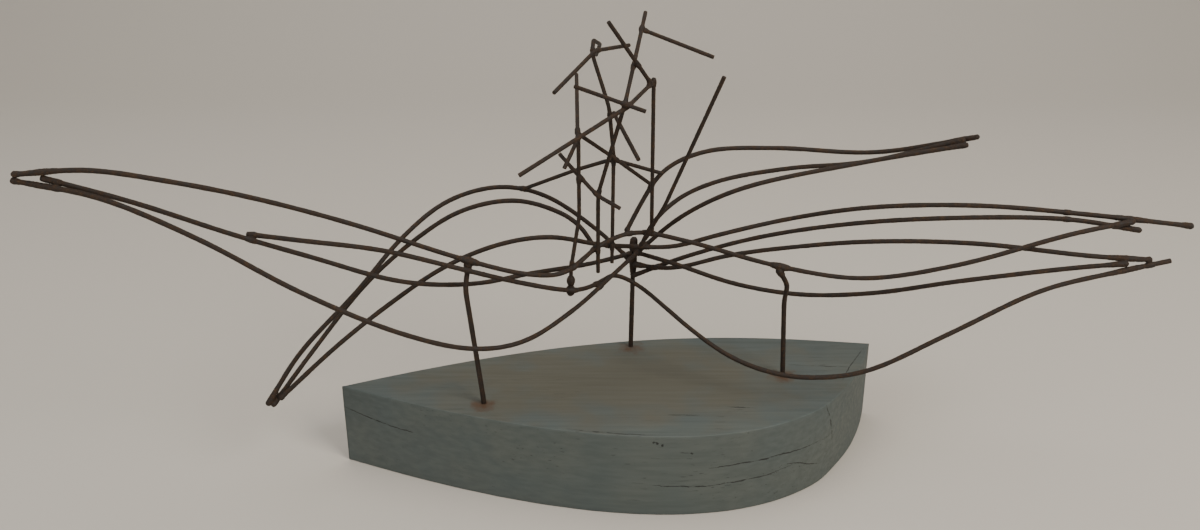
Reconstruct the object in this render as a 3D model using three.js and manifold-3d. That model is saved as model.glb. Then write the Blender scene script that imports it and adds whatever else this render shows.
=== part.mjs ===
// Wire sculpture on its plinth. Long bent steel rods sweep out from a hub over a boat-shaped wooden
// plinth and meet in five pointed wing tips. A small open mast of thin straight rods stands over the hub.
// Millimetres, +Z up. The origin is on the plinth's underside, at the middle of its length and width,
// and the front of the sculpture faces -Y.
import * as THREE from 'three';
import { mergeVertices } from 'three/addons/utils/BufferGeometryUtils.js';
import Module from 'manifold-3d';

// ---- driving dimensions ----
const PLINTH_HEIGHT = 44;
const EDGE_EASE = 0.8;            // the plinth's long edges are lightly sanded round
const WING_ROD_DIAMETER = 2.4;    // 3/32 inch steel rod
const MAST_ROD_DIAMETER = 2.0;
const SUPPORT_DIAMETER = 2.6;
const SUPPORT_DEPTH = 14;         // how far each support is let into the plinth
const CONTACT_GAP = 0.3;          // left between separate pieces where they touch

// The plinth's outline, as seen from above: a point at the left and a slanted end at the right.
const STEM = [-141, -4];
const STERN_BACK = [142, 46];
const STERN_FRONT = [107, -24];
const CORNER_RADIUS = 9;          // rounding of the front corner of the slanted end
const BACK_HANDLES = [[-12, 63], [63, 59]];
const FRONT_HANDLES = [[37, -84], [-70, -39]];
const STERN_BOW = 3.5;            // how far the slanted end bulges

// Where the rods meet. Each place is [across, back, height above the plinth's top].
const LEFT_TIP = [-250, -69, 131];
const LOW_TIP = [-171, -28, 4];
const UPPER_TIP = [168, 13, 125];
const RIGHT_TIP = [271, -16, 92];
const LOWER_RIGHT_TIP = [261, -23, 77];
const HUB = [10, 42, 56];
const FRONT_JOINT = [-71, -20, 75];
const RIGHT_JOINT = [82, 2, 63];
const MAST_JOINT = [4, -20, 152];   // three mast rods cross and are welded here
const MAST_CORNER = [16, 6, 156];
const MAST_KNOT = [-2, 14, 118];

const WING_STEP = 9;       // length of one facet along a curved rod
const WING_SIDES = 8;
const MAST_SIDES = 6;
const BEND_RADIUS = 3;     // inside radius of the sharp bends in the mast rods
const EASING_PASSES = 160;
const EASING_SHARE = 0.3;  // share of an overlap that is taken up in one pass
const END_REACH = 0.6;     // of a rod's radius

const RUSTED_STEEL = { color: 0x3a2a1c, roughness: 0.85, metalness: 0.35 };
const BLUE_GREY_PAINT = { color: 0x4f6266, roughness: 0.8, metalness: 0.0 };

const above = ([x, y, height]) => new THREE.Vector3(x, y, PLINTH_HEIGHT + height);
const shifted = (place, dx, dy, dh) => [place[0] + dx, place[1] + dy, place[2] + dh];

// ---- the rods, by name ----
// A curved rod runs smoothly through its places. A bent rod is straight between them.
const rods = [];

function addRod(name, diameter, places, kind) {
  rods.push({ name, diameter, points: places.map(above), ...kind });
}
const wingRod = (name, ...places) => addRod(name, WING_ROD_DIAMETER, places, { curved: true });
const mastRod = (name, ...places) => addRod(name, MAST_ROD_DIAMETER, places, {});
// A support stands upright in its hole and may lean above it.
function support(name, [x, y], ...places) {
  addRod(name, SUPPORT_DIAMETER, [[x, y, -SUPPORT_DEPTH], [x, y, 1], ...places], { fixed: true });
}

// Three supports stand in the plinth.
support('front_support', [-66, -22], [-72.5, -22, 62], shifted(FRONT_JOINT, 0, 0, -2));
support('middle_support', [9, 42], shifted(HUB, 0, 0, 6));
support('right_support', [88, 9], [86, 8, 43], [87, 6, 52], shifted(RIGHT_JOINT, 0, 0, -2));

// One rod arches from the left tip over the hub to the right tip, and rests on the outer supports.
wingRod('arch_rod', shifted(LEFT_TIP, 0, 0, 3), [-224, -63, 134], [-195, -53, 126], [-163, -40, 114], [-124, -24, 96],
  FRONT_JOINT, [-42, -16, 67], [-25, -9, 65], [-9, 4, 74], [10, 16, 77], [32, 14, 74],
  RIGHT_JOINT, [122, -4, 60], [164, -16, 72], [215, -19, 89], shifted(RIGHT_TIP, -28, 0, 2));
wingRod('left_middle_rod', shifted(LEFT_TIP, 10, 3, 0), [-210, -55, 117], [-174, -38, 96],
  [-143, -28, 81], [-103, -20, 65], [-70, -6, 58], [-43, 10, 57], [-13, 28, 55], shifted(HUB, -3, -3, 0));
// This rod sags under the left wing, passes the hub and rises into the upper wing.
wingRod('long_belly_rod', shifted(LEFT_TIP, -1, 0, 0), [-220, -64, 122], [-182, -57, 100],
  [-143, -53, 74], [-100, -48, 51], [-68, -36, 37], [-45, -26, 36], [-21, -8, 45], [-3, 17, 52],
  [14, 34, 61], [34, 26, 82], [62, 16, 100], [122, 18, 113], shifted(UPPER_TIP, 1, -1, -1));
// This rod starts on the left middle rod and sags under the right wing.
wingRod('right_belly_rod', [-169, -34, 94], [-146, -33, 91], [-110, -25, 83], [-73, -24, 73],
  [-47, -14, 62], [-22, -4, 54], [-8, 14, 50], [0, 28, 49], [12, 30, 42], [25, 14, 37],
  [39, -1, 30], [57, -12, 21], [74, -20, 17], [91, -25, 16], [120, -29, 21], [159, -30, 42],
  [202, -26, 63], [238, -24, 72], LOWER_RIGHT_TIP);

// The low left wing.
wingRod('low_outer_rod', LOW_TIP, [-157, -18, 25], [-128, -5, 54], [-108, 12, 75], [-86, 30, 89],
  [-60, 38, 94], [-37, 42, 88], [-10, 45, 68], shifted(HUB, -2, 2, -5));
wingRod('low_middle_rod', shifted(LOW_TIP, 2, 1, -1), [-150, -3, 25], [-128, 12, 50],
  [-102, 15, 73], [-77, 15, 89], [-50, 16, 94], [-29, 16, 88], [-19, 15, 82], [-12, 14, 72]);
// This rod passes the hub and runs on along the top of the right wing.
wingRod('low_inner_rod', shifted(LOW_TIP, 6, 2, 2), [-138, -16, 29], [-112, -4, 47], [-85, 2, 64],
  [-58, 4, 75], [-33, 4, 79], [-8, 14, 71], [10, 30, 64], [30, 32, 63], [53, 28, 71], [90, 28, 80],
  [127, 11, 92], [175, -4, 98], [226, -12, 96], RIGHT_TIP);

// The upper wing.
wingRod('upper_outer_rod', [6, 18, 78], [13, 24, 90], [24, 30, 105], [45, 34, 114], [82, 37, 115],
  [132, 36, 113], shifted(UPPER_TIP, 7, 1, 2));
wingRod('upper_middle_rod', HUB, [20, 32, 77], [33, 37, 88], [53, 38, 97], [90, 38, 104],
  [124, 28, 110], UPPER_TIP);

// The right wings.
wingRod('right_upper_rod', shifted(HUB, 0, -2, -12), [35, 36, 55], [72, 31, 68], [112, 18, 80],
  [155, 0, 90], [214, -12, 94], shifted(RIGHT_TIP, -24, 0, -2));
wingRod('right_middle_rod', shifted(HUB, 2, -3, -6), [30, 34, 50], [60, 30, 59], [95, 22, 67],
  [129, 8, 75], [174, -8, 80], [225, -20, 78], shifted(LOWER_RIGHT_TIP, -10, 0, 0));
wingRod('right_lower_rod', shifted(HUB, 2, -3, 1), [31, 28, 55], [63, 27, 44], [97, 22, 40],
  [132, 8, 47], [167, -8, 60], [217, -20, 72], shifted(LOWER_RIGHT_TIP, -21, 0, -1));

// The mast. Its main rod stands among the wing rods and ends in a long hook that points backwards.
mastRod('mast', [-2, 16, 61], shifted(MAST_KNOT, 1, 0, 0), [-3, 6, 144], [-11, 11, 168], [-11, 15, 174],
  [-8, 42, 167], [-10, 96, 151]);
mastRod('leaning_mast_rod', [14, 31, 184], MAST_JOINT, [-9, -5, 104], [-9, 3, 61]);
mastRod('bead_rod', [-18, -10, 134], [-18, -3, 92], [-22, -4, 66], [-22, -3, 52]);
mastRod('back_stick', [-20, 53, 149], [-18, -18, 134], [-24, -26, 124]);
mastRod('top_stick', [-4, -9, 186], shifted(MAST_CORNER, -1, -2, 0));
mastRod('right_mast_rod', shifted(MAST_CORNER, 1, 1, 0), [18, 16, 78]);
mastRod('long_cross_stick', MAST_CORNER, MAST_JOINT, [-43, -44, 126]);
mastRod('hanging_stick', [-2, 8, 140], [9, -33, 130]);
mastRod('short_cross_stick', [-19, -10, 157], [12, -25, 149]);
mastRod('upper_bent_stick', [-28, -28, 159], [-11, 9, 170], [6, 39, 167]);
mastRod('flag_stick', [14, 22, 177], [46, 20, 165]);
mastRod('outer_leaning_rod', [48, -13, 162], [24, 8, 94], [13, 17, 70]);
mastRod('lower_bow_stick', [-47, 38, 93], [-20, 22, 108], shifted(MAST_KNOT, 0, 3, -3), [23, 26, 105]);
mastRod('brace_stick', [-18, -9, 135], shifted(MAST_KNOT, 0, -3, 0), [18, 26, 99]);
mastRod('lower_bent_stick', [-27, 1, 122], [-20, -4, 115], [-9, -7, 104], [1, -13, 100]);

// ---- rods that would pass through one another are eased apart until they only touch ----

// A ring is a section of a rod: its centre, and how far along the rod's list of places it stands.
function curvedRings(points) {
  const curve = new THREE.CatmullRomCurve3(points, false, 'centripetal');
  const count = Math.ceil(curve.getLength() / WING_STEP);
  return Array.from({ length: count + 1 }, (_, i) => {
    const share = curve.getUtoTmapping(i / count);
    return { centre: curve.getPoint(share), place: share * (points.length - 1) };
  });
}

// Straight runs with three rings round each tight bend.
function bentRings(points) {
  const rings = [{ centre: points[0].clone(), place: 0 }];
  for (let i = 1; i < points.length - 1; i++) {
    const before = points[i].distanceTo(points[i - 1]);
    const after = points[i].distanceTo(points[i + 1]);
    const reach = Math.min(BEND_RADIUS, before / 3, after / 3);
    const into = points[i].clone().lerp(points[i - 1], reach / before);
    const out = points[i].clone().lerp(points[i + 1], reach / after);
    const middle = new THREE.QuadraticBezierCurve3(into, points[i], out).getPoint(0.5);
    rings.push({ centre: into, place: i - reach / before });
    rings.push({ centre: middle, place: i });
    rings.push({ centre: out, place: i + reach / after });
  }
  rings.push({ centre: points.at(-1).clone(), place: points.length - 1 });
  return rings;
}

const ringsOf = (rod) => (rod.curved ? curvedRings(rod.points) : bentRings(rod.points));

// The straight runs between a rod's rings.
function runsOf(rod) {
  const rings = ringsOf(rod);
  return rings.slice(1).map((ring, i) => ({
    line: new THREE.Line3(rings[i].centre, ring.centre),
    middle: rings[i].centre.clone().lerp(ring.centre, 0.5),
    length: rings[i].centre.distanceTo(ring.centre),
    places: [rings[i].place, ring.place],
  }));
}

// Moves the two places on either side of a spot on a run, in proportion to how near they are.
// The supports stay where they stand.
function nudge(rod, run, spot, push) {
  if (rod.fixed) return;
  const share = run.line.start.distanceTo(spot) / run.length;
  const place = THREE.MathUtils.lerp(run.places[0], run.places[1], share);
  const before = Math.min(Math.floor(place), rod.points.length - 2);
  rod.points[before].addScaledVector(push, before + 1 - place);
  rod.points[before + 1].addScaledVector(push, place - before);
}

function easePair(a, b, runsA, runsB) {
  const clear = (a.diameter + b.diameter) / 2 + CONTACT_GAP;
  const spotA = new THREE.Vector3();
  const spotB = new THREE.Vector3();
  for (const runA of runsA) {
    for (const runB of runsB) {
      if (runA.middle.distanceTo(runB.middle) > clear + (runA.length + runB.length) / 2) continue;
      const distance = Math.sqrt(runA.line.distanceSqToLine3(runB.line, spotA, spotB));
      if (distance >= clear) continue;
      // Rods that cross dead centre part towards front and back.
      const push = distance > 0.05 ? spotA.clone().sub(spotB) : new THREE.Vector3(0, 1, 0.2);
      push.setLength((clear - distance) * EASING_SHARE);
      nudge(a, runA, spotA, push);
      nudge(b, runB, spotB, push.negate());
    }
  }
}

function easeApart() {
  for (let pass = 0; pass < EASING_PASSES; pass++) {
    const runs = rods.map(runsOf);
    for (let i = 0; i < rods.length; i++) {
      for (let j = i + 1; j < rods.length; j++) easePair(rods[i], rods[j], runs[i], runs[j]);
    }
  }
}

// ---- solids ----

// The path a rod's section is drawn along: the ring centres themselves, joined by straight runs.
class RodPath extends THREE.Curve {
  constructor(centres) {
    super();
    this.centres = centres;
  }

  getPoint(share) {
    const place = share * (this.centres.length - 1);
    const before = Math.min(Math.floor(place), this.centres.length - 2);
    return this.centres[before].clone().lerp(this.centres[before + 1], place - before);
  }

  getPointAt(share) {
    return this.getPoint(share);
  }

  // At a ring, halfway between the runs on either side of it, so that the bend is mitred.
  getTangentAt(share) {
    const ring = Math.round(share * (this.centres.length - 1));
    const here = this.centres[ring];
    const direction = new THREE.Vector3();
    if (ring > 0) direction.add(here.clone().sub(this.centres[ring - 1]).normalize());
    if (ring < this.centres.length - 1) direction.add(this.centres[ring + 1].clone().sub(here).normalize());
    return direction.normalize();
  }
}

function polygon(radius, sides) {
  const corners = Array.from({ length: sides }, (_, i) => {
    const angle = (2 * Math.PI * i) / sides;
    return new THREE.Vector2(radius * Math.cos(angle), radius * Math.sin(angle));
  });
  return new THREE.Shape(corners);
}

// Lengthens a rod at one end, so that its flat end comes up to the rod it is welded to.
function extend(end, next, reach) {
  end.add(end.clone().sub(next).setLength(reach));
}

function rodSolid(rod) {
  const centres = ringsOf(rod).map((ring) => ring.centre);
  const reach = (rod.diameter / 2) * END_REACH;
  extend(centres[0], centres[1], reach);
  extend(centres.at(-1), centres.at(-2), reach);
  const sides = rod.diameter > MAST_ROD_DIAMETER ? WING_SIDES : MAST_SIDES;
  return new THREE.ExtrudeGeometry(polygon(rod.diameter / 2, sides), {
    steps: centres.length - 1, bevelEnabled: false, extrudePath: new RodPath(centres),
  });
}

// The plinth's outline, walked once round from its point.
function plinthOutline() {
  const along = new THREE.Vector2(...STERN_FRONT).sub(new THREE.Vector2(...STERN_BACK)).normalize();
  const outwards = new THREE.Vector2(-along.y, along.x);
  const sternMiddle = new THREE.Vector2(...STERN_FRONT).add(new THREE.Vector2(...STERN_BACK)).multiplyScalar(0.5)
    .addScaledVector(outwards, 2 * STERN_BOW);
  const cornerStart = new THREE.Vector2(...STERN_FRONT).addScaledVector(along, -CORNER_RADIUS);
  const cornerEnd = new THREE.Vector2(STERN_FRONT[0] - CORNER_RADIUS * 0.8, STERN_FRONT[1] - CORNER_RADIUS * 0.6);
  const shape = new THREE.Shape();
  shape.moveTo(...STEM);
  shape.bezierCurveTo(...BACK_HANDLES[0], ...BACK_HANDLES[1], ...STERN_BACK);
  shape.quadraticCurveTo(sternMiddle.x, sternMiddle.y, cornerStart.x, cornerStart.y);
  shape.quadraticCurveTo(...STERN_FRONT, cornerEnd.x, cornerEnd.y);
  shape.bezierCurveTo(...FRONT_HANDLES[0], ...FRONT_HANDLES[1], ...STEM);
  return shape;
}

function plinthSolid(Manifold, Mesh) {
  const block = new THREE.ExtrudeGeometry(plinthOutline(), {
    depth: PLINTH_HEIGHT - 2 * EDGE_EASE, curveSegments: 14, bevelEnabled: true,
    bevelThickness: EDGE_EASE, bevelSize: EDGE_EASE, bevelOffset: -EDGE_EASE, bevelSegments: 1,
  });
  block.translate(0, 0, EDGE_EASE);
  let solid = toManifold(block, Manifold, Mesh);
  for (const rod of rods.filter((each) => each.fixed)) {
    const [foot] = rod.points;
    const radius = SUPPORT_DIAMETER / 2 + CONTACT_GAP;
    const hole = new THREE.CylinderGeometry(radius, radius, 2 * SUPPORT_DEPTH, 2 * WING_SIDES);
    hole.rotateX(Math.PI / 2);
    hole.translate(foot.x, foot.y, foot.z - SUPPORT_DIAMETER / 2 + SUPPORT_DEPTH);
    solid = solid.subtract(toManifold(hole, Manifold, Mesh));
  }
  return fromManifold(solid);
}

function toManifold(geometry, Manifold, Mesh) {
  const bare = geometry.clone();
  bare.deleteAttribute('normal');
  bare.deleteAttribute('uv');
  const merged = mergeVertices(bare, 1e-4);
  return new Manifold(new Mesh({
    numProp: 3,
    vertProperties: new Float32Array(merged.attributes.position.array),
    triVerts: new Uint32Array(merged.index.array),
  }));
}

function fromManifold(solid) {
  const mesh = solid.getMesh();
  const geometry = new THREE.BufferGeometry();
  geometry.setAttribute('position', new THREE.BufferAttribute(mesh.vertProperties, 3));
  geometry.setIndex(new THREE.BufferAttribute(mesh.triVerts, 1));
  geometry.computeVertexNormals();
  return geometry;
}

function addMesh(group, name, geometry, finish) {
  const mesh = new THREE.Mesh(geometry, new THREE.MeshStandardMaterial(finish));
  mesh.name = name;
  group.add(mesh);
}

// ---- the whole sculpture ----
const kernel = await Module();
kernel.setup();

const sculpture = new THREE.Group();
sculpture.name = 'wire sculpture';
addMesh(sculpture, 'plinth', plinthSolid(kernel.Manifold, kernel.Mesh), BLUE_GREY_PAINT);
easeApart();
for (const rod of rods) addMesh(sculpture, rod.name, rodSolid(rod), RUSTED_STEEL);

export default sculpture;
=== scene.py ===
# Wire sculpture on its plinth: bent, rusted steel rods welded into five pointed wings and a small mast,
# over a boat-shaped block of painted wood.
import math
import bpy
import bmesh
import numpy as np
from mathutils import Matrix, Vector, noise


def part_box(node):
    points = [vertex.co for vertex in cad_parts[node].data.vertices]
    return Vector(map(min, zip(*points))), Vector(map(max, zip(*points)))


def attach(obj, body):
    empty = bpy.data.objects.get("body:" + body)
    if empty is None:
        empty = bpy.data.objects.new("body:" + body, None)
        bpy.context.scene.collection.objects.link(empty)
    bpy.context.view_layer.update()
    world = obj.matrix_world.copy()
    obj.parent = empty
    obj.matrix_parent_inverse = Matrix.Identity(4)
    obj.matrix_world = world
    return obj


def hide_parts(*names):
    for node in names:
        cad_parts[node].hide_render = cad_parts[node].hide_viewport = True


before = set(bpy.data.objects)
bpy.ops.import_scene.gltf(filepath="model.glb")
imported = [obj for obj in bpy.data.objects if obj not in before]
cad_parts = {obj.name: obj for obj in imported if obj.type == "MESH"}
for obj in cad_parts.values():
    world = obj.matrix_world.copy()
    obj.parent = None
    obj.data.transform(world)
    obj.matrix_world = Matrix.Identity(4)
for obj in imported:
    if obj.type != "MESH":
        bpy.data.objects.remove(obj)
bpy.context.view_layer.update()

MM = 0.001


# ---- camera ----
# A view from in front and above, looking down over the sculpture and its plinth. The camera stands
# back far enough to take in the wings' tips on both sides.
CAMERA_AT = Vector((-8, -506, 314)) * MM
CAMERA_PITCH_DOWN = math.radians(22)
CAMERA_LENS_MM = 33

camera_data = bpy.data.cameras.new("camera")
camera_data.lens = CAMERA_LENS_MM
camera_data.sensor_width = 36
camera_data.clip_start = 0.01
camera = bpy.data.objects.new("camera", camera_data)
camera.location = CAMERA_AT
camera.rotation_euler = (math.pi / 2 - CAMERA_PITCH_DOWN, 0, 0)
bpy.context.collection.objects.link(camera)
bpy.context.scene.camera = camera


# ---- rods ----
# Mild steel rod, bent cold by hand and cut off square. Rust has pitted it and coloured it dark brown,
# with lighter brown patches. Each rod follows the centre line of its solid.
WING_ROD_RADIUS = 1.2 * MM
MAST_ROD_RADIUS = 1.0 * MM
SUPPORT_RADIUS = 1.3 * MM
ROD_STEP = 0.6 * MM          # distance between the rings of a rod
ROD_SIDES = 12
PIT_DEPTH = 0.05 * MM
PITS_PER_METRE = 900.0
WING_SMOOTHING = 40          # times that the centre line of a long curved rod is smoothed
STICK_SMOOTHING = 4          # and of a short, straight or bent one
UNEVENNESS = 0.05            # share of the radius by which a rod swells and thins

WING_RODS = ("arch_rod", "left_middle_rod", "long_belly_rod", "right_belly_rod", "low_outer_rod",
             "low_middle_rod", "low_inner_rod", "upper_outer_rod", "upper_middle_rod",
             "right_upper_rod", "right_middle_rod", "right_lower_rod")
MAST_RODS = ("mast", "leaning_mast_rod", "bead_rod", "back_stick", "top_stick", "right_mast_rod",
             "long_cross_stick", "hanging_stick", "short_cross_stick", "upper_bent_stick", "flag_stick",
             "outer_leaning_rod", "lower_bow_stick", "brace_stick", "lower_bent_stick")
SUPPORTS = ("front_support", "middle_support", "right_support")
ALL_RODS = WING_RODS + MAST_RODS + SUPPORTS


def rod_radius(name):
    """The wings, the mast and the supports are each of one thickness of rod."""
    if name in WING_RODS:
        return WING_ROD_RADIUS
    return MAST_ROD_RADIUS if name in MAST_RODS else SUPPORT_RADIUS


def merged_solid(node):
    """The solid's own corners and triangles, with doubled corners made one."""
    mesh = bmesh.new()
    mesh.from_mesh(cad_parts[node].data)
    bmesh.ops.remove_doubles(mesh, verts=mesh.verts, dist=0.01 * MM)
    bmesh.ops.triangulate(mesh, faces=mesh.faces)
    return mesh


def centre_line(node):
    """The middle of each ring of corners along a rod's solid, from one flat end to the other."""
    mesh = merged_solid(node)
    mesh.normal_update()

    def coplanar(face):
        found, waiting = {face}, [face]
        while waiting:
            for edge in waiting.pop().edges:
                for other in edge.link_faces:
                    if other not in found and other.normal.dot(face.normal) > 0.9999:
                        found.add(other)
                        waiting.append(other)
        return found

    def across(faces):
        points = [vert.co for face in faces for vert in face.verts]
        return max((a - b).length for a in points for b in points)

    flats = [coplanar(face) for face in mesh.faces]
    flat_end = next(faces for faces in flats if len(faces) >= 4 and across(faces) < 2.1 * SUPPORT_RADIUS)
    ring = {vert for face in flat_end for vert in face.verts}
    done, middles = set(), []
    while ring:
        middles.append(sum((vert.co for vert in ring), Vector()) / len(ring))
        done |= ring
        ring = {edge.other_vert(vert) for vert in ring for edge in vert.link_edges} - done
    mesh.free()
    return middles


def add_node(tree, kind, settings=(), **inputs):
    """A node with its settings made and its inputs set or linked by name."""
    node = tree.nodes.new(kind)
    for name, value in dict(settings).items():
        setattr(node, name, value)
    for name, value in inputs.items():
        socket = node.inputs[int(name[1:])] if name[0] == "_" else node.inputs[name.replace("_", " ")]
        if isinstance(value, bpy.types.NodeSocket):
            tree.links.new(value, socket)
        else:
            socket.default_value = value
    return node


def new_geometry_tree(name, **inputs):
    """A Geometry Nodes tree with a geometry input and the named inputs."""
    tree = bpy.data.node_groups.new(name, "GeometryNodeTree")
    tree.interface.new_socket("Geometry", in_out="INPUT", socket_type="NodeSocketGeometry")
    for key, kind in inputs.items():
        tree.interface.new_socket(key, in_out="INPUT", socket_type=kind)
    tree.interface.new_socket("Geometry", in_out="OUTPUT", socket_type="NodeSocketGeometry")
    return tree


def pitted(tree, geometry, depth, seed):
    """Moves the surface in and out by coarse and fine noise."""
    position = add_node(tree, "GeometryNodeInputPosition").outputs[0]
    coarse = add_node(tree, "ShaderNodeTexNoise", {"noise_dimensions": "4D"}, Vector=position, W=seed,
                      Scale=PITS_PER_METRE, Detail=3.0)
    centred = add_node(tree, "ShaderNodeMath", {"operation": "SUBTRACT"}, _0=coarse.outputs[0], _1=0.5)
    height = add_node(tree, "ShaderNodeMath", {"operation": "MULTIPLY"}, _0=centred.outputs[0], _1=depth)
    twice = add_node(tree, "ShaderNodeMath", {"operation": "MULTIPLY"}, _0=height.outputs[0], _1=4.0)
    normal = add_node(tree, "GeometryNodeInputNormal").outputs[0]
    offset = add_node(tree, "ShaderNodeVectorMath", {"operation": "SCALE"}, _0=normal,
                      Scale=twice.outputs[0])
    return add_node(tree, "GeometryNodeSetPosition", Geometry=geometry, Offset=offset.outputs[0]).outputs[0]


def rod_tree():
    """Smooths the centre line, draws a round section along it and pits the surface."""
    tree = new_geometry_tree("rusted rod", Radius="NodeSocketFloat", Smoothing="NodeSocketInt",
                             Seed="NodeSocketFloat", Material="NodeSocketMaterial")
    given = tree.nodes.new("NodeGroupInput").outputs
    line = add_node(tree, "GeometryNodeMeshToCurve", _0=given["Geometry"]).outputs[0]
    line = add_node(tree, "GeometryNodeResampleCurve", {"mode": "LENGTH"}, Curve=line,
                    Length=ROD_STEP).outputs[0]
    ends = add_node(tree, "GeometryNodeCurveEndpointSelection").outputs[0]
    inner = add_node(tree, "ShaderNodeMath", {"operation": "SUBTRACT"}, _0=1.0, _1=ends).outputs[0]
    position = add_node(tree, "GeometryNodeInputPosition").outputs[0]
    smooth = add_node(tree, "GeometryNodeBlurAttribute", {"data_type": "FLOAT_VECTOR"},
                      Value=position, Iterations=given["Smoothing"], Weight=inner).outputs[0]
    line = add_node(tree, "GeometryNodeSetPosition", Geometry=line, Position=smooth).outputs[0]
    swell = add_node(tree, "ShaderNodeTexNoise", {"noise_dimensions": "4D"}, Vector=position,
                     W=given["Seed"], Scale=150.0, Detail=1.0).outputs[0]
    swell = add_node(tree, "ShaderNodeMapRange", Value=swell, From_Min=0.3, From_Max=0.7,
                     To_Min=1 - UNEVENNESS, To_Max=1 + UNEVENNESS / 2).outputs[0]
    section = add_node(tree, "GeometryNodeCurvePrimitiveCircle", Resolution=ROD_SIDES,
                       Radius=given["Radius"]).outputs[0]
    body = add_node(tree, "GeometryNodeCurveToMesh", Curve=line, Profile_Curve=section,
                    Scale=swell, Fill_Caps=True).outputs[0]
    body = pitted(tree, body, PIT_DEPTH, given["Seed"])
    body = add_node(tree, "GeometryNodeSetShadeSmooth", Geometry=body, Shade_Smooth=True).outputs[0]
    body = add_node(tree, "GeometryNodeRealizeInstances", Geometry=body).outputs[0]
    body = add_node(tree, "GeometryNodeSetMaterial", Geometry=body, Material=given["Material"]).outputs[0]
    out = tree.nodes.new("NodeGroupOutput")
    tree.links.new(body, out.inputs[0])
    return tree


def grown(name, mesh, tree, **inputs):
    """The plain mesh that a Geometry Nodes tree makes of a starting mesh."""
    start = bpy.data.objects.new(name + " start", mesh)
    bpy.context.collection.objects.link(start)
    modifier = start.modifiers.new("grow", "NODES")
    modifier.node_group = tree
    for item in tree.interface.items_tree:
        if item.in_out == "INPUT" and item.name in inputs:
            modifier[item.identifier] = inputs[item.name]
    bpy.context.view_layer.update()
    evaluated = start.evaluated_get(bpy.context.evaluated_depsgraph_get())
    result = bpy.data.objects.new(name, bpy.data.meshes.new_from_object(evaluated))
    bpy.context.collection.objects.link(result)
    bpy.data.objects.remove(start)
    return result


def line_mesh(name, points):
    """A mesh of edges from point to point."""
    mesh = bpy.data.meshes.new(name)
    mesh.from_pydata(points, [(i, i + 1) for i in range(len(points) - 1)], [])
    return mesh


def new_material(name, roughness, metallic=0.0):
    """A material and its tree, with the Principled shader ready."""
    material = bpy.data.materials.new(name)
    material.use_nodes = True
    shader = material.node_tree.nodes["Principled BSDF"]
    shader.inputs["Roughness"].default_value = roughness
    shader.inputs["Metallic"].default_value = metallic
    return material, material.node_tree, shader


def ramp(tree, value, stops):
    """A colour ramp through (place, colour) stops."""
    node = add_node(tree, "ShaderNodeValToRGB", Fac=value)
    elements = node.color_ramp.elements
    while len(elements) < len(stops):
        elements.new(0.5)
    for element, (place, colour) in zip(elements, stops):
        element.position = place
        element.color = (*colour, 1)
    return node.outputs[0]


# The rust from its darkest to its lightest: place on the ramp, and colour.
RUST_COLOURS = ((0.34, (0.006, 0.0035, 0.002)), (0.48, (0.016, 0.0085, 0.004)),
                (0.59, (0.042, 0.021, 0.009)), (0.70, (0.095, 0.056, 0.023)))
SPECKS_SHARE = 0.4


def rust_material():
    """Dark brown rust in soft patches and fine specks, dull and rough."""
    material, tree, shader = new_material("rusted steel", 0.8)
    where = add_node(tree, "ShaderNodeTexCoord").outputs["Object"]
    patches = add_node(tree, "ShaderNodeTexNoise", Vector=where, Scale=420.0, Detail=5.0,
                       Roughness=0.65).outputs[0]
    specks = add_node(tree, "ShaderNodeTexNoise", Vector=where, Scale=2200.0, Detail=2.0).outputs[0]
    both = add_node(tree, "ShaderNodeMix", Factor=SPECKS_SHARE, _2=patches, _3=specks).outputs[0]
    colour = ramp(tree, both, RUST_COLOURS)
    tree.links.new(colour, shader.inputs["Base Color"])
    shine = add_node(tree, "ShaderNodeMapRange", Value=patches, From_Min=0.3, From_Max=0.7,
                     To_Min=0.62, To_Max=0.92).outputs[0]
    tree.links.new(shine, shader.inputs["Roughness"])
    bump = add_node(tree, "ShaderNodeBump", Strength=0.7, Distance=0.12 * MM, Height=both).outputs[0]
    tree.links.new(bump, shader.inputs["Normal"])
    return material


RUST = rust_material()
ROD = rod_tree()
paths = {}
for seed, name in enumerate(ALL_RODS):
    paths[name] = centre_line(name)
    smoothing = WING_SMOOTHING if name in WING_RODS else STICK_SMOOTHING
    rod = grown(name + "_steel", line_mesh(name, paths[name]), ROD,
                Radius=rod_radius(name), Smoothing=smoothing, Seed=float(seed), Material=RUST)
    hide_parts(name)
    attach(rod, "root")


# ---- welds ----
# Where rods meet they are brazed or welded, and the bead is left as it ran: a lump that swells round the
# rods and thins out along them. It has rusted like the rods, and is pitted deeper than they are.
BEAD_STEP = 0.4 * MM         # distance between the balls that a bead is built from
VOXEL_MM = 0.3
BEAD_PIT_DEPTH = 3 * PIT_DEPTH
TOUCH = 3.4 * MM             # rods whose centre lines come this close are welded
SMALL_REACH = 2.6 * MM
SMALL_SWELL = 0.45 * MM
# Beads at the tips of the wings: weld, rod, side of the rod's end, reach along the rods, and swell.
TIP_WELDS = (("left_tip_weld", (("left_middle_rod", -1, 7 * MM, 0.25 * MM),)),
             ("low_tip_weld", (("low_outer_rod", -1, 10 * MM, 0.3 * MM),)),
             ("upper_tip_weld", (("upper_middle_rod", 1, 8 * MM, 0.25 * MM),)),
             ("right_tip_weld", (("arch_rod", 1, 9 * MM, 0.3 * MM), ("low_inner_rod", 1, 5 * MM, 0.4 * MM))),
             ("lower_right_tip_weld", (("right_lower_rod", 1, 9 * MM, 0.3 * MM),)))
# Beads on the hub, one above the other: how far below its top, reach and swell.
HUB_BEADS = ((3 * MM, 7 * MM, 0.9 * MM), (12 * MM, 8 * MM, 0.7 * MM))
SUPPORT_REACH = 5 * MM
SUPPORT_SWELL = 0.8 * MM
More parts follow.
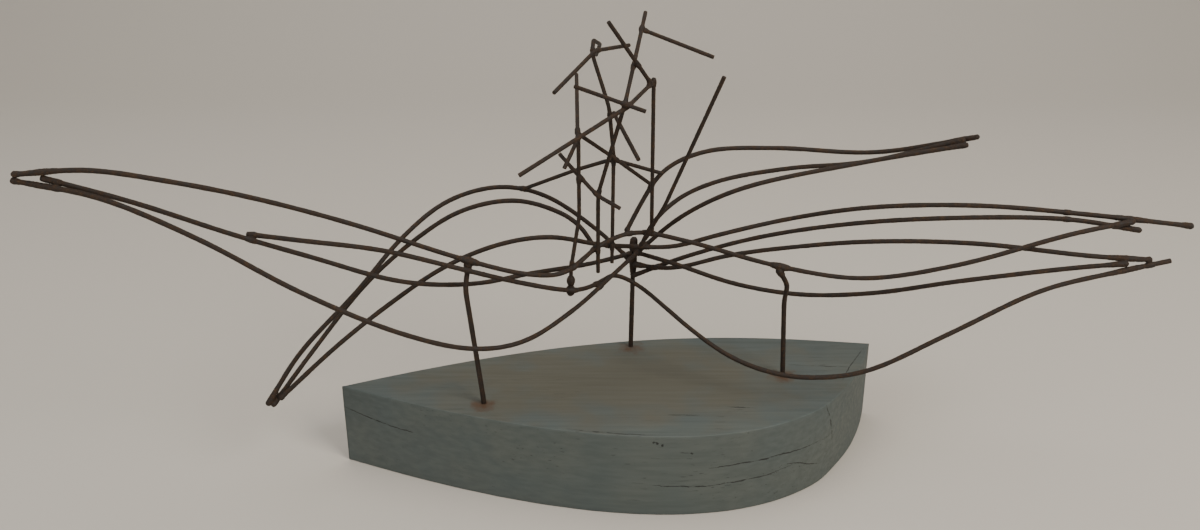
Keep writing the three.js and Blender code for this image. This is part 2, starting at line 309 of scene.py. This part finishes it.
# Round beads at the foot of the bead rod: name, and how far above its lowest place.
FOOT_BEADS = (("lower_foot_bead", 1.5 * MM), ("upper_foot_bead", 7.0 * MM))
FOOT_REACH = 2.4 * MM
FOOT_SWELL = 1.3 * MM
UP = Vector((0, 0, 1))


def spaced(points, step):
    """The same line, with points at even steps."""
    out = []
    for start, end in zip(points, points[1:]):
        count = max(1, round((end - start).length / step))
        out += [start.lerp(end, i / count) for i in range(count)]
    return out + [points[-1]]


fine = {name: spaced(points, BEAD_STEP) for name, points in paths.items()}
arrays = {name: np.array(points) for name, points in fine.items()}


def nearest(a, b):
    """How close two rods come, and the place halfway between them there."""
    gaps = np.linalg.norm(arrays[a][:, None] - arrays[b][None], axis=2)
    i, j = np.unravel_index(gaps.argmin(), gaps.shape)
    return gaps[i, j], (fine[a][i] + fine[b][j]) / 2


def bead(place, reach, swell, rods=ALL_RODS):
    """Balls along the rods near a place. They swell most at the place itself."""
    balls = []
    for name in rods:
        for point in fine[name]:
            far = (point - place).length / reach
            if far < 1:
                balls.append((point, rod_radius(name) + swell * (1 - far * far)))
    return balls


def bead_tree():
    """Fuses the balls into one skin, works in millimetres and scales the result to metres."""
    tree = new_geometry_tree("weld bead", Seed="NodeSocketFloat", Material="NodeSocketMaterial")
    given = tree.nodes.new("NodeGroupInput").outputs
    radius = add_node(tree, "GeometryNodeInputNamedAttribute", {"data_type": "FLOAT"},
                      Name="radius").outputs[0]
    points = add_node(tree, "GeometryNodeMeshToPoints", Mesh=given["Geometry"], Radius=radius).outputs[0]
    volume = add_node(tree, "GeometryNodePointsToVolume", {"resolution_mode": "VOXEL_SIZE"}, Points=points,
                      Voxel_Size=VOXEL_MM, Radius=radius).outputs[0]
    skin = add_node(tree, "GeometryNodeVolumeToMesh", Volume=volume, Threshold=0.1).outputs[0]
    position = add_node(tree, "GeometryNodeInputPosition").outputs[0]
    smooth = add_node(tree, "GeometryNodeBlurAttribute", {"data_type": "FLOAT_VECTOR"},
                      Value=position, Iterations=3).outputs[0]
    skin = add_node(tree, "GeometryNodeSetPosition", Geometry=skin, Position=smooth).outputs[0]
    skin = add_node(tree, "GeometryNodeTransform", Geometry=skin, Scale=(MM, MM, MM)).outputs[0]
    skin = pitted(tree, skin, BEAD_PIT_DEPTH, given["Seed"])
    skin = add_node(tree, "GeometryNodeSetShadeSmooth", Geometry=skin, Shade_Smooth=True).outputs[0]
    skin = add_node(tree, "GeometryNodeRealizeInstances", Geometry=skin).outputs[0]
    skin = add_node(tree, "GeometryNodeSetMaterial", Geometry=skin, Material=given["Material"]).outputs[0]
    out = tree.nodes.new("NodeGroupOutput")
    tree.links.new(skin, out.inputs[0])
    return tree


BEAD = bead_tree()


def weld(name, balls, seed):
    """One piece of weld metal, fused from balls of (place, radius)."""
    mesh = bpy.data.meshes.new(name)
    mesh.from_pydata([point / MM for point, _ in balls], [], [])
    mesh.attributes.new("radius", "FLOAT", "POINT").data.foreach_set("value", [r / MM for _, r in balls])
    made = grown(name, mesh, BEAD, Seed=float(seed), Material=RUST)
    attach(made, "root")
    return made


def end_of(name, side):
    """The end of a rod that lies furthest to one side: -1 left, 1 right."""
    return max((fine[name][0], fine[name][-1]), key=lambda point: side * point.x)


def top_of(name):
    """The highest place of a rod."""
    return max(fine[name], key=lambda point: point.z)


hub = top_of("middle_support")
balls = [ball for below, reach, swell in HUB_BEADS for ball in bead(hub - below * UP, reach, swell)]
weld("hub_weld", balls, 41)
for seed, (name, beads) in enumerate(TIP_WELDS):
    balls = [ball for rod, side, reach, swell in beads for ball in bead(end_of(rod, side), reach, swell)]
    weld(name, balls, 42 + seed)
for seed, name in enumerate(("front_support", "right_support")):
    weld(name + "_weld", bead(nearest(name, "arch_rod")[1], SUPPORT_REACH, SUPPORT_SWELL), 50 + seed)
for seed, (name, above) in enumerate(FOOT_BEADS):
    place = min(fine["bead_rod"], key=lambda point: point.z) + above * UP
    weld(name, bead(place, FOOT_REACH, FOOT_SWELL, ("bead_rod",)), 55 + seed)

small = []
names = WING_RODS + MAST_RODS
for i, a in enumerate(names):
    for b in names[i + 1:]:
        gap, place = nearest(a, b)
        if gap < TOUCH:
            small += bead(place, SMALL_REACH, SMALL_SWELL, (a, b))
weld("small_welds", small, 60)


# ---- plinth ----
# A solid block of wood, sawn to the outline of a boat and sanded. It is painted a matt blue-grey that has
# worn olive-brown on top. The grain has opened in fine cracks, and rust has run from the rods' feet.
EDGE_ROUND = 0.7 * MM
WALL_STEP = 2.0 * MM
OUTLINE_STEP = 1.5 * MM
CORNER_TURN = math.radians(12)
OUTLINE_SMOOTHING = 60
PLINTH_HOLLOWS = 0.12 * MM   # how far the sawn faces wander
HOLLOW_LENGTH = 18 * MM
HOLLOW_INWARDS = 0.6         # share of that by which they lie inwards
EDGE_WEAR = 0.2              # share by which the rounding of the edges varies
EDGE_WEAR_LENGTH = 9 * MM
PLINTH_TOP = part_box("plinth")[1].z


def plinth_outline():
    """The block's outline at its first level above the base, evenly spaced and smooth between corners."""
    solid = merged_solid("plinth")
    level = min((v.co.z for v in solid.verts if v.co.z > 0.2 * MM))
    corners = [v.co.copy() for v in solid.verts if abs(v.co.z - level) < 0.05 * MM]
    solid.free()
    middle = sum(corners, Vector()) / len(corners)
    corners.sort(key=lambda p: math.atan2(p.y - middle.y, p.x - middle.x))
    points, pinned = [], []
    for i, here in enumerate(corners):
        before, after = corners[i - 1], corners[(i + 1) % len(corners)]
        turn = (here - before).angle(after - here)
        count = max(1, round((after - here).length / OUTLINE_STEP))
        for k in range(count):
            points.append(here.lerp(after, k / count))
            pinned.append(k == 0 and turn > CORNER_TURN)
    line = np.array(points)[:, :2]
    free = ~np.array(pinned)
    for _ in range(OUTLINE_SMOOTHING):
        blurred = (np.roll(line, 1, 0) + 2 * line + np.roll(line, -1, 0)) / 4
        line[free] = blurred[free]
    return line


def plinth_mesh():
    """The block: rings from the base to the top, rounded at both edges, and a fan over each flat."""
    line = plinth_outline()
    along = np.roll(line, -1, 0) - np.roll(line, 1, 0)
    along /= np.linalg.norm(along, axis=1)[:, None]
    outwards = np.stack([along[:, 1], -along[:, 0]], 1)
    rise = PLINTH_TOP - 2 * EDGE_ROUND
    arc = [math.radians(a) for a in (0, 22, 45, 68, 90)]
    profile = [(EDGE_ROUND * (1 - math.sin(a)), EDGE_ROUND * (1 - math.cos(a))) for a in arc]
    steps = round(rise / WALL_STEP)
    profile += [(0, EDGE_ROUND + rise * i / steps) for i in range(1, steps)]
    profile += [(EDGE_ROUND * (1 - math.cos(a)), PLINTH_TOP - EDGE_ROUND * (1 - math.sin(a))) for a in arc]
    verts = []
    for inset, z in profile:
        for (x, y), (ox, oy) in zip(line, outwards):
            wander = PLINTH_HOLLOWS * (noise.noise(Vector((x, y, z)) / HOLLOW_LENGTH) - HOLLOW_INWARDS)
            wear = 1 + EDGE_WEAR * noise.noise(Vector((x, y, z)) / EDGE_WEAR_LENGTH)
            push = wander - inset * wear
            verts.append((x + ox * push, y + oy * push, z))
    n = len(line)
    faces = []
    for ring in range(len(profile) - 1):
        for i in range(n):
            j = (i + 1) % n
            faces.append((ring * n + i, ring * n + j, (ring + 1) * n + j, (ring + 1) * n + i))
    for ring, z in ((0, 0.0), (len(profile) - 1, PLINTH_TOP)):
        verts.append((0, 0, z))
        for i in range(n):
            a, b = ring * n + i, ring * n + (i + 1) % n
            faces.append((b, a, len(verts) - 1) if ring == 0 else (a, b, len(verts) - 1))
    mesh = bpy.data.meshes.new("plinth")
    mesh.from_pydata(verts, [], faces)
    mesh.polygons.foreach_set("use_smooth", [len(face) == 4 for face in faces])
    return mesh


def crack_group():
    """A thin wandering line from Start to End on a flat pair of coordinates. It bows in the middle and
    tapers to nothing at its ends."""
    group = bpy.data.node_groups.new("crack", "ShaderNodeTree")
    for name in ("At", "Start", "End"):
        group.interface.new_socket(name, in_out="INPUT", socket_type="NodeSocketVector")
    for name in ("Bow", "Width", "Wobble", "Broken"):
        group.interface.new_socket(name, in_out="INPUT", socket_type="NodeSocketFloat")
    group.interface.new_socket("Mask", in_out="OUTPUT", socket_type="NodeSocketFloat")
    given = group.nodes.new("NodeGroupInput").outputs

    def vector(operation, a, b):
        node = add_node(group, "ShaderNodeVectorMath", {"operation": operation}, _0=a, _1=b)
        return node.outputs["Value" if operation in ("DOT_PRODUCT", "LENGTH") else "Vector"]

    def maths(operation, a, b=0.0):
        return add_node(group, "ShaderNodeMath", {"operation": operation}, _0=a, _1=b).outputs[0]

    run = vector("SUBTRACT", given["End"], given["Start"])
    away = vector("SUBTRACT", given["At"], given["Start"])
    square = vector("DOT_PRODUCT", run, run)
    share = maths("DIVIDE", vector("DOT_PRODUCT", away, run), square)
    cross = vector("CROSS_PRODUCT", run, away)
    aside = add_node(group, "ShaderNodeSeparateXYZ", Vector=cross).outputs["Z"]
    aside = maths("DIVIDE", aside, maths("SQRT", square))
    arch = maths("MULTIPLY", maths("MULTIPLY", share, 4.0), maths("SUBTRACT", 1.0, share))
    arch = maths("MAXIMUM", arch, 0.0)
    aside = maths("SUBTRACT", aside, maths("MULTIPLY", arch, given["Bow"]))
    aside = maths("SUBTRACT", aside, given["Wobble"])
    width = maths("MULTIPLY", maths("MULTIPLY", maths("SQRT", arch), given["Width"]), given["Broken"])
    width = maths("MAXIMUM", width, 0.0001 * MM)
    mask = maths("SUBTRACT", 1.0, maths("DIVIDE", maths("ABSOLUTE", aside), width))
    mask = add_node(group, "ShaderNodeMath", {"operation": "MULTIPLY", "use_clamp": True}, _0=mask, _1=2.0)
    out = group.nodes.new("NodeGroupOutput")
    group.links.new(mask.outputs[0], out.inputs[0])
    return group


# Cracks in millimetres: start, end, bow and width. On the walls a place is (along, height), and on the
# top it is (along, back).
WALL_CRACKS = (
    ((-141, 32), (-101, 27), -1.2, 0.45), ((44, 25.5), (111, 24), 1.6, 0.5),
    ((17, 17), (88, 18.5), -1.8, 0.42), ((84, 20), (103, 11), 0.8, 0.35), ((105, 44), (111, 19), 0.6, 0.45))
TOP_CRACKS = (
    ((25, -34), (41, -34), 0.1, 0.5), ((55, -26), (70, -27), 0.1, 0.42),
    ((92, 19.5), (125, 17), 0.4, 0.42), ((-24, -47.5), (14, -53), -0.5, 0.55),
    ((118, 2), (138, 40), 1.0, 0.35))
# Chips: place on the wall, and radius.
WALL_CHIPS = (((19, 40.3), 0.9), ((21.5, 39.2), 0.8), ((35.8, 34.5), 0.8), ((17.5, 40.8), 0.6))
STAIN_RADIUS = 9 * MM
STAIN_FORWARDS = 2 * MM
WORN_HALF_LENGTH = 0.115
WORN_HALF_WIDTH = 0.048
GREY_BLUE_PAINT = (0.082, 0.102, 0.098)
PALER_PAINT = (0.097, 0.112, 0.101)
DARK_GRAIN = (0.054, 0.066, 0.062)
WORN_BROWN = (0.104, 0.093, 0.064)
RUST_STAIN = (0.085, 0.040, 0.018)
CRACK_DARK = (0.010, 0.010, 0.009)
CRACK_COVER = 0.88           # how far the dark of a crack covers the paint


def plinth_material():
    """Matt paint with its grain, wear, rust stains, cracks and chips, placed in the part's own frame."""
    material, tree, shader = new_material("blue-grey paint", 0.8)
    where = add_node(tree, "ShaderNodeTexCoord").outputs["Object"]
    facing = add_node(tree, "ShaderNodeNewGeometry").outputs["Normal"]
    x, y, z = add_node(tree, "ShaderNodeSeparateXYZ", Vector=where).outputs
    on_wall = add_node(tree, "ShaderNodeCombineXYZ", X=x, Y=z).outputs[0]
    on_top = add_node(tree, "ShaderNodeCombineXYZ", X=x, Y=y).outputs[0]
    up = add_node(tree, "ShaderNodeSeparateXYZ", Vector=facing).outputs["Z"]
    front = add_node(tree, "ShaderNodeSeparateXYZ", Vector=facing).outputs["Y"]

    def maths(operation, a, b=0.0, clamp=False):
        return add_node(tree, "ShaderNodeMath", {"operation": operation, "use_clamp": clamp},
                        _0=a, _1=b).outputs[0]

    def scaled(value, low, high, to_low=0.0, to_high=1.0):
        return add_node(tree, "ShaderNodeMapRange", Value=value, From_Min=low, From_Max=high,
                        To_Min=to_low, To_Max=to_high).outputs[0]

    def noise_at(scale, detail=3.0, stretch=(1, 1, 1)):
        at = add_node(tree, "ShaderNodeVectorMath", {"operation": "MULTIPLY"}, _0=where,
                      _1=stretch).outputs[0]
        return add_node(tree, "ShaderNodeTexNoise", Vector=at, Scale=scale, Detail=detail).outputs[0]

    def mixed(factor, a, b):
        node = add_node(tree, "ShaderNodeMix", {"data_type": "RGBA"}, Factor=factor)
        for index, value in ((6, a), (7, b)):
            if isinstance(value, bpy.types.NodeSocket):
                tree.links.new(value, node.inputs[index])
            else:
                node.inputs[index].default_value = (*value, 1)
        return node.outputs[2]

    is_top = scaled(up, 0.55, 0.8)
    is_front = maths("MULTIPLY", scaled(front, 0.1, -0.1), maths("SUBTRACT", 1.0, is_top))

    # Paint: cool grey-blue, mottled, with streaks along the grain.
    colour = mixed(scaled(noise_at(28.0), 0.35, 0.65), GREY_BLUE_PAINT, PALER_PAINT)
    streaks = noise_at(1.0, 4.0, (25, 420, 420))
    colour = mixed(scaled(streaks, 0.35, 0.7, 0.0, 0.3), colour, DARK_GRAIN)
    # Wear: olive-brown on the middle of the top.
    middle = add_node(tree, "ShaderNodeVectorMath", {"operation": "MULTIPLY"}, _0=on_top,
                      _1=(1 / WORN_HALF_LENGTH, 1 / WORN_HALF_WIDTH, 0)).outputs[0]
    middle = add_node(tree, "ShaderNodeVectorMath", {"operation": "LENGTH"}, _0=middle).outputs["Value"]
    middle = maths("ADD", middle, scaled(noise_at(45.0, 4.0), 0.3, 0.7, -0.35, 0.35))
    worn = maths("MULTIPLY", scaled(middle, 1.15, 0.45, 0.0, 0.7), is_top)
    colour = mixed(worn, colour, WORN_BROWN)
    # Rust that has run into the paint round the feet of the supports.
    for name in SUPPORTS:
        foot = min(paths[name], key=lambda point: abs(point.z - PLINTH_TOP))
        away = add_node(tree, "ShaderNodeVectorMath", {"operation": "SUBTRACT"}, _0=where,
                        _1=(foot.x, foot.y - STAIN_FORWARDS, PLINTH_TOP)).outputs[0]
        away = add_node(tree, "ShaderNodeVectorMath", {"operation": "LENGTH"}, _0=away).outputs["Value"]
        away = maths("ADD", away, scaled(noise_at(240.0), 0.3, 0.7, -3 * MM, 3 * MM))
        stain = scaled(away, STAIN_RADIUS * 0.9, STAIN_RADIUS * 0.1, 0.0, 0.85)
        colour = mixed(stain, colour, RUST_STAIN)
    # Cracks: the long ones listed above, and short ones strewn along the grain.
    group = crack_group()
    cracks = None
    wobble = maths("ADD", scaled(noise_at(90.0, 2.0), 0.0, 1.0, -1.2 * MM, 1.2 * MM),
                   scaled(noise_at(700.0, 2.0), 0.0, 1.0, -0.35 * MM, 0.35 * MM))
    broken = scaled(noise_at(260.0, 2.0), 0.38, 0.55, 0.15, 1.0)
    for at, facing_mask, lines in ((on_wall, is_front, WALL_CRACKS), (on_top, is_top, TOP_CRACKS)):
        for start, end, bow, width in lines:
            node = add_node(tree, "ShaderNodeGroup", {"node_tree": group}, At=at,
                            Start=(start[0] * MM, start[1] * MM, 0), End=(end[0] * MM, end[1] * MM, 0),
                            Bow=bow * MM, Width=width * MM, Wobble=wobble, Broken=broken)
            mask = maths("MULTIPLY", node.outputs[0], facing_mask)
            cracks = mask if cracks is None else maths("MAXIMUM", cracks, mask)
    dashes = noise_at(1.0, 2.0, (70, 1300, 1300))
    gathered = scaled(noise_at(30.0, 2.0), 0.45, 0.62)
    dashes = maths("MULTIPLY", scaled(dashes, 0.665, 0.70), gathered, True)
    cracks = maths("MAXIMUM", cracks, maths("MULTIPLY", dashes, 0.75))
    for place, radius in WALL_CHIPS:
        away = add_node(tree, "ShaderNodeVectorMath", {"operation": "DISTANCE"}, _0=on_wall,
                        _1=(place[0] * MM, place[1] * MM, 0)).outputs["Value"]
        away = maths("ADD", away, scaled(noise_at(900.0), 0.3, 0.7, -0.4 * MM, 0.4 * MM))
        chip = maths("MULTIPLY", scaled(away, radius * MM, radius * 0.6 * MM), is_front)
        cracks = maths("MAXIMUM", cracks, chip)
    colour = mixed(maths("MULTIPLY", cracks, CRACK_COVER), colour, CRACK_DARK)
    tree.links.new(colour, shader.inputs["Base Color"])
    fine_grain = noise_at(900.0, 4.0)
    height = maths("ADD", maths("MULTIPLY", fine_grain, 0.25), maths("MULTIPLY", streaks, 0.5))
    height = maths("SUBTRACT", height, cracks)
    bump = add_node(tree, "ShaderNodeBump", Strength=0.5, Distance=0.3 * MM, Height=height).outputs[0]
    tree.links.new(bump, shader.inputs["Normal"])
    tree.links.new(scaled(streaks, 0.3, 0.7, 0.68, 0.88), shader.inputs["Roughness"])
    return material


plinth = bpy.data.objects.new("painted_plinth", plinth_mesh())
plinth.data.materials.append(plinth_material())
bpy.context.collection.objects.link(plinth)
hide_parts("plinth")
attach(plinth, "root")


# ---- studio ----
# A pale sweep that is floor in front and backdrop behind, a large soft light from the right and front, and
# a weaker one from the left.
SWEEP_WIDTH = 6.0
SWEEP_BACK = 1.6
SWEEP_CURVE = 0.8
SWEEP_FRONT = -3.0
SWEEP_HEIGHT = 3.0
LIT_PLACE = Vector((0, 0, 0.08))     # where the lights point

side = [(SWEEP_FRONT, 0.0), (SWEEP_BACK - SWEEP_CURVE, 0.0)]
side += [(SWEEP_BACK - SWEEP_CURVE + SWEEP_CURVE * math.sin(math.radians(a)),
          SWEEP_CURVE - SWEEP_CURVE * math.cos(math.radians(a))) for a in range(6, 91, 6)]
side += [(SWEEP_BACK, SWEEP_HEIGHT)]
sweep_mesh = bpy.data.meshes.new("sweep")
sweep_mesh.from_pydata([(x * SWEEP_WIDTH / 2, y, z) for y, z in side for x in (-1, 1)], [],
                       [(2 * i, 2 * i + 1, 2 * i + 3, 2 * i + 2) for i in range(len(side) - 1)])
sweep_mesh.polygons.foreach_set("use_smooth", [True] * len(sweep_mesh.polygons))
sweep_material, _, sweep_shader = new_material("pale sweep", 0.9)
sweep_shader.inputs["Base Color"].default_value = (0.62, 0.58, 0.52, 1)
sweep_mesh.materials.append(sweep_material)
sweep = bpy.data.objects.new("sweep", sweep_mesh)
bpy.context.collection.objects.link(sweep)


def soft_light(name, at, size, watts, colour):
    """A square light that points at the sculpture."""
    data = bpy.data.lights.new(name, "AREA")
    data.shape = "SQUARE"
    data.size = size
    data.energy = watts
    data.color = colour
    light = bpy.data.objects.new(name, data)
    light.location = at
    light.rotation_euler = (LIT_PLACE - Vector(at)).to_track_quat("-Z", "Y").to_euler()
    bpy.context.collection.objects.link(light)


soft_light("key light", (0.9, -0.9, 1.1), 0.7, 18, (1.0, 0.94, 0.86))
soft_light("fill light", (-1.2, -0.8, 0.9), 1.2, 8, (0.95, 0.97, 1.0))
soft_light("top light", (0.0, 0.3, 1.6), 1.4, 10, (1.0, 0.98, 0.95))
world = bpy.data.worlds.new("world")
world.use_nodes = True
world.node_tree.nodes["Background"].inputs["Color"].default_value = (0.75, 0.72, 0.68, 1)
world.node_tree.nodes["Background"].inputs["Strength"].default_value = 0.35
bpy.context.scene.world = world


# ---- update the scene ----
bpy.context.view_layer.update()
